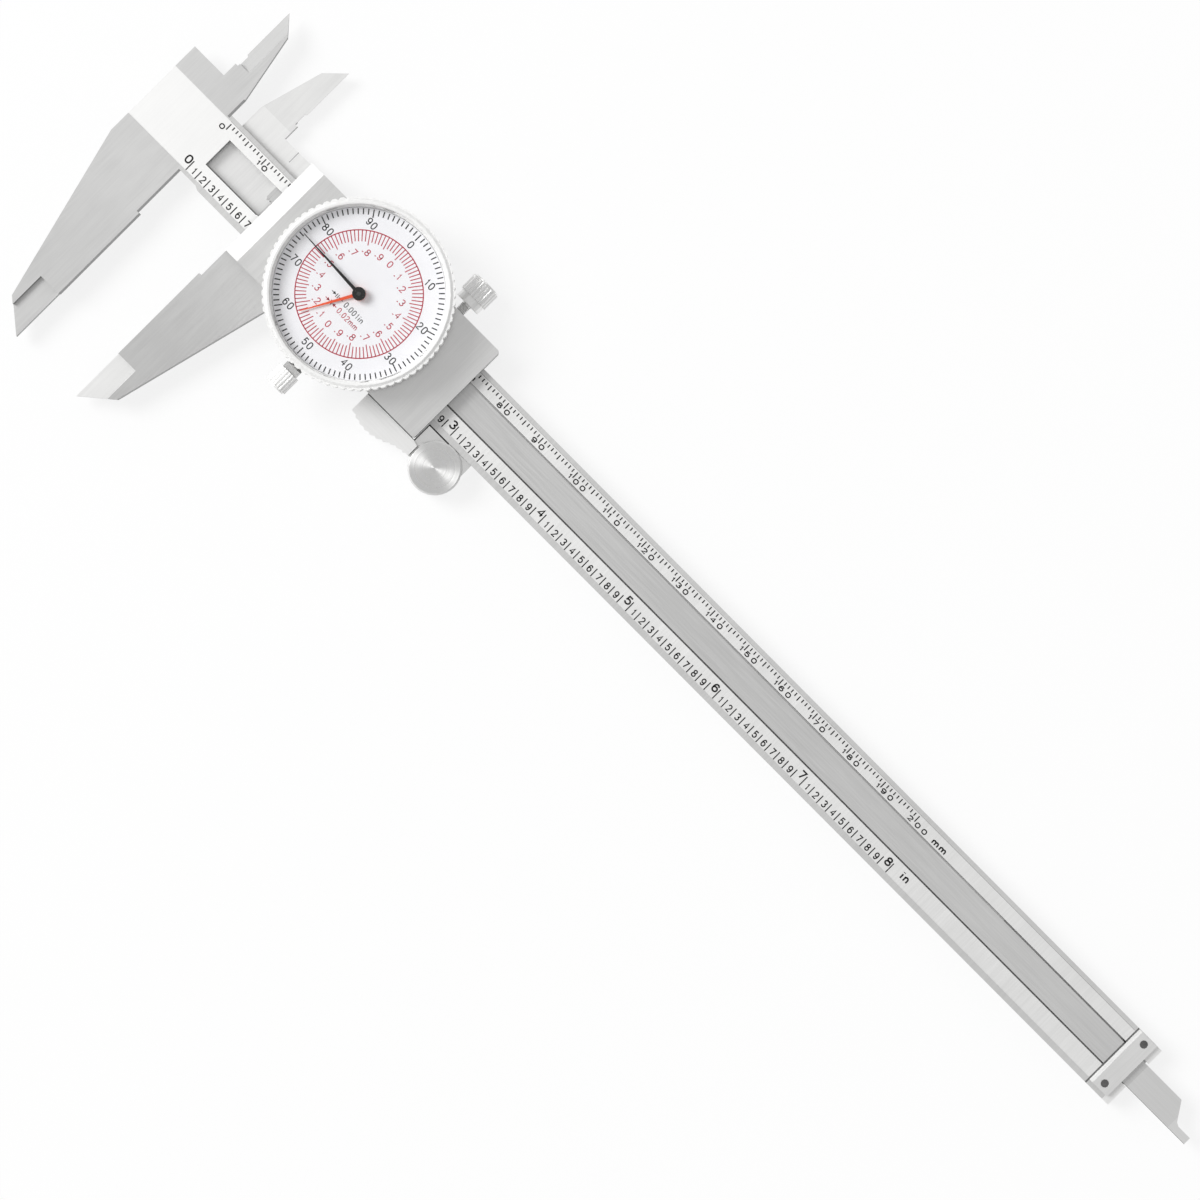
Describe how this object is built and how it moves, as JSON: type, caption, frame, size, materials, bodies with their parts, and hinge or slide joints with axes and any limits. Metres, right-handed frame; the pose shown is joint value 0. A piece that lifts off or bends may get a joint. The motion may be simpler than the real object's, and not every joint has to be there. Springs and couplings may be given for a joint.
{
  "type": "dial caliper",
  "caption": "Dial caliper with outside jaws, crossing inside jaws, a depth blade, and a rack and pinion gear train that drives two pointers over a white dial.",
  "frame": {"origin": "middle of the whole caliper's footprint, on the surface under the slider's back, as it lies face up", "axes": "+X along the beam, the way the slider opens; +Y towards the inside jaws; +Z out of the dial"},
  "size_m": [0.3038, 0.086, 0.0172],
  "materials": {
    "ground_steel": "fine ground",
    "rack_steel": "machined",
    "screw_steel": "turned",
    "dark_screw": "blackened",
    "bright_steel": "satin plated",
    "brass": "machined",
    "black_paint": "matt",
    "red_paint": "matt",
    "dial_white": "printed matt white",
    "crystal": "clear"
  },
  "bodies": {
    "beam": {"main_beam": "ground_steel", "gear_rack": "rack_steel", "rack_screws": "screw_steel", "end_bridge_plate": "ground_steel", "end_bridge_screws": "dark_screw"},
    "slider": {"slider_frame": "ground_steel", "gib_strip": "brass", "gib_set_screws": "screw_steel", "depth_blade": "ground_steel", "blade_screws": "screw_steel", "dial_case": "bright_steel", "case_screws": "screw_steel", "pinion_bush": "brass", "movement_bridge": "brass", "movement_pillars": "brass", "movement_screws": "screw_steel", "bezel_snap_ring": "screw_steel", "thumb_grip": "bright_steel", "grip_screws": "screw_steel", "roller_bracket": "bright_steel", "bracket_screws": "screw_steel"},
    "lock": {"lock_screw": "bright_steel"},
    "bezel_ring": {"bezel": "bright_steel", "crystal": "crystal", "dial_face": "dial_white"},
    "bezel_clamp": {"bezel_clamp_screw": "bright_steel"},
    "gear_arbor": {"pinion_arbor": "screw_steel", "inch_wheel": "brass", "mm_wheel": "brass"},
    "inch_hand": {"inch_arbor": "screw_steel", "inch_pointer": "black_paint"},
    "mm_hand": {"mm_sleeve": "brass", "mm_pointer": "red_paint"},
    "roller": {"thumb_roller": "bright_steel", "roller_clip": "screw_steel"}
  },
  "joints": [
    {"name": "slider_slide", "type": "slide", "parent": "beam", "child": "slider", "axis": [1, 0, 0], "range_m": [-0.01716, 0.18785]},
    {"name": "lock_turn", "type": "hinge", "parent": "slider", "child": "lock", "pos_m": [-0.07597, 0.0246, 0.00353], "axis": [0, 1, 0], "range_deg": [-90, 360]},
    {"name": "bezel_turn", "type": "hinge", "parent": "slider", "child": "bezel_ring", "pos_m": [-0.09232, 0.0125, 0.01353], "axis": [0, 0, 1], "continuous": true},
    {"name": "bezel_clamp_turn", "type": "hinge", "parent": "slider", "child": "bezel_clamp", "pos_m": [-0.09132, -0.008, 0.01153], "axis": [0, -1, 0], "range_deg": [-90, 360]},
    {"name": "pinion_spin", "type": "hinge", "parent": "slider", "child": "gear_arbor", "pos_m": [-0.09986, 0.01152, 0.00853], "axis": [0, 0, 1], "range_deg": [-609, 6657]},
    {"name": "inch_hand_spin", "type": "hinge", "parent": "slider", "child": "inch_hand", "pos_m": [-0.09232, 0.0125, 0.00853], "axis": [0, 0, 1], "range_deg": [-26625, 2433]},
    {"name": "mm_hand_spin", "type": "hinge", "parent": "slider", "child": "mm_hand", "pos_m": [-0.09232, 0.0125, 0.00853], "axis": [0, 0, 1], "range_deg": [-33814, 3089]},
    {"name": "roller_spin", "type": "hinge", "parent": "slider", "child": "roller", "pos_m": [-0.05692, -0.00155, 0.00353], "axis": [0, 0, 1], "range_deg": [-177, 1923]}
  ],
  "couplings": [
    {"joint": "pinion_spin", "follows": "slider_slide", "rad_per_m": 618.42},
    {"joint": "inch_hand_spin", "follows": "slider_slide", "rad_per_m": -2473.7},
    {"joint": "mm_hand_spin", "follows": "slider_slide", "rad_per_m": -3141.6},
    {"joint": "roller_spin", "follows": "slider_slide", "rad_per_m": 178.57}
  ]
}
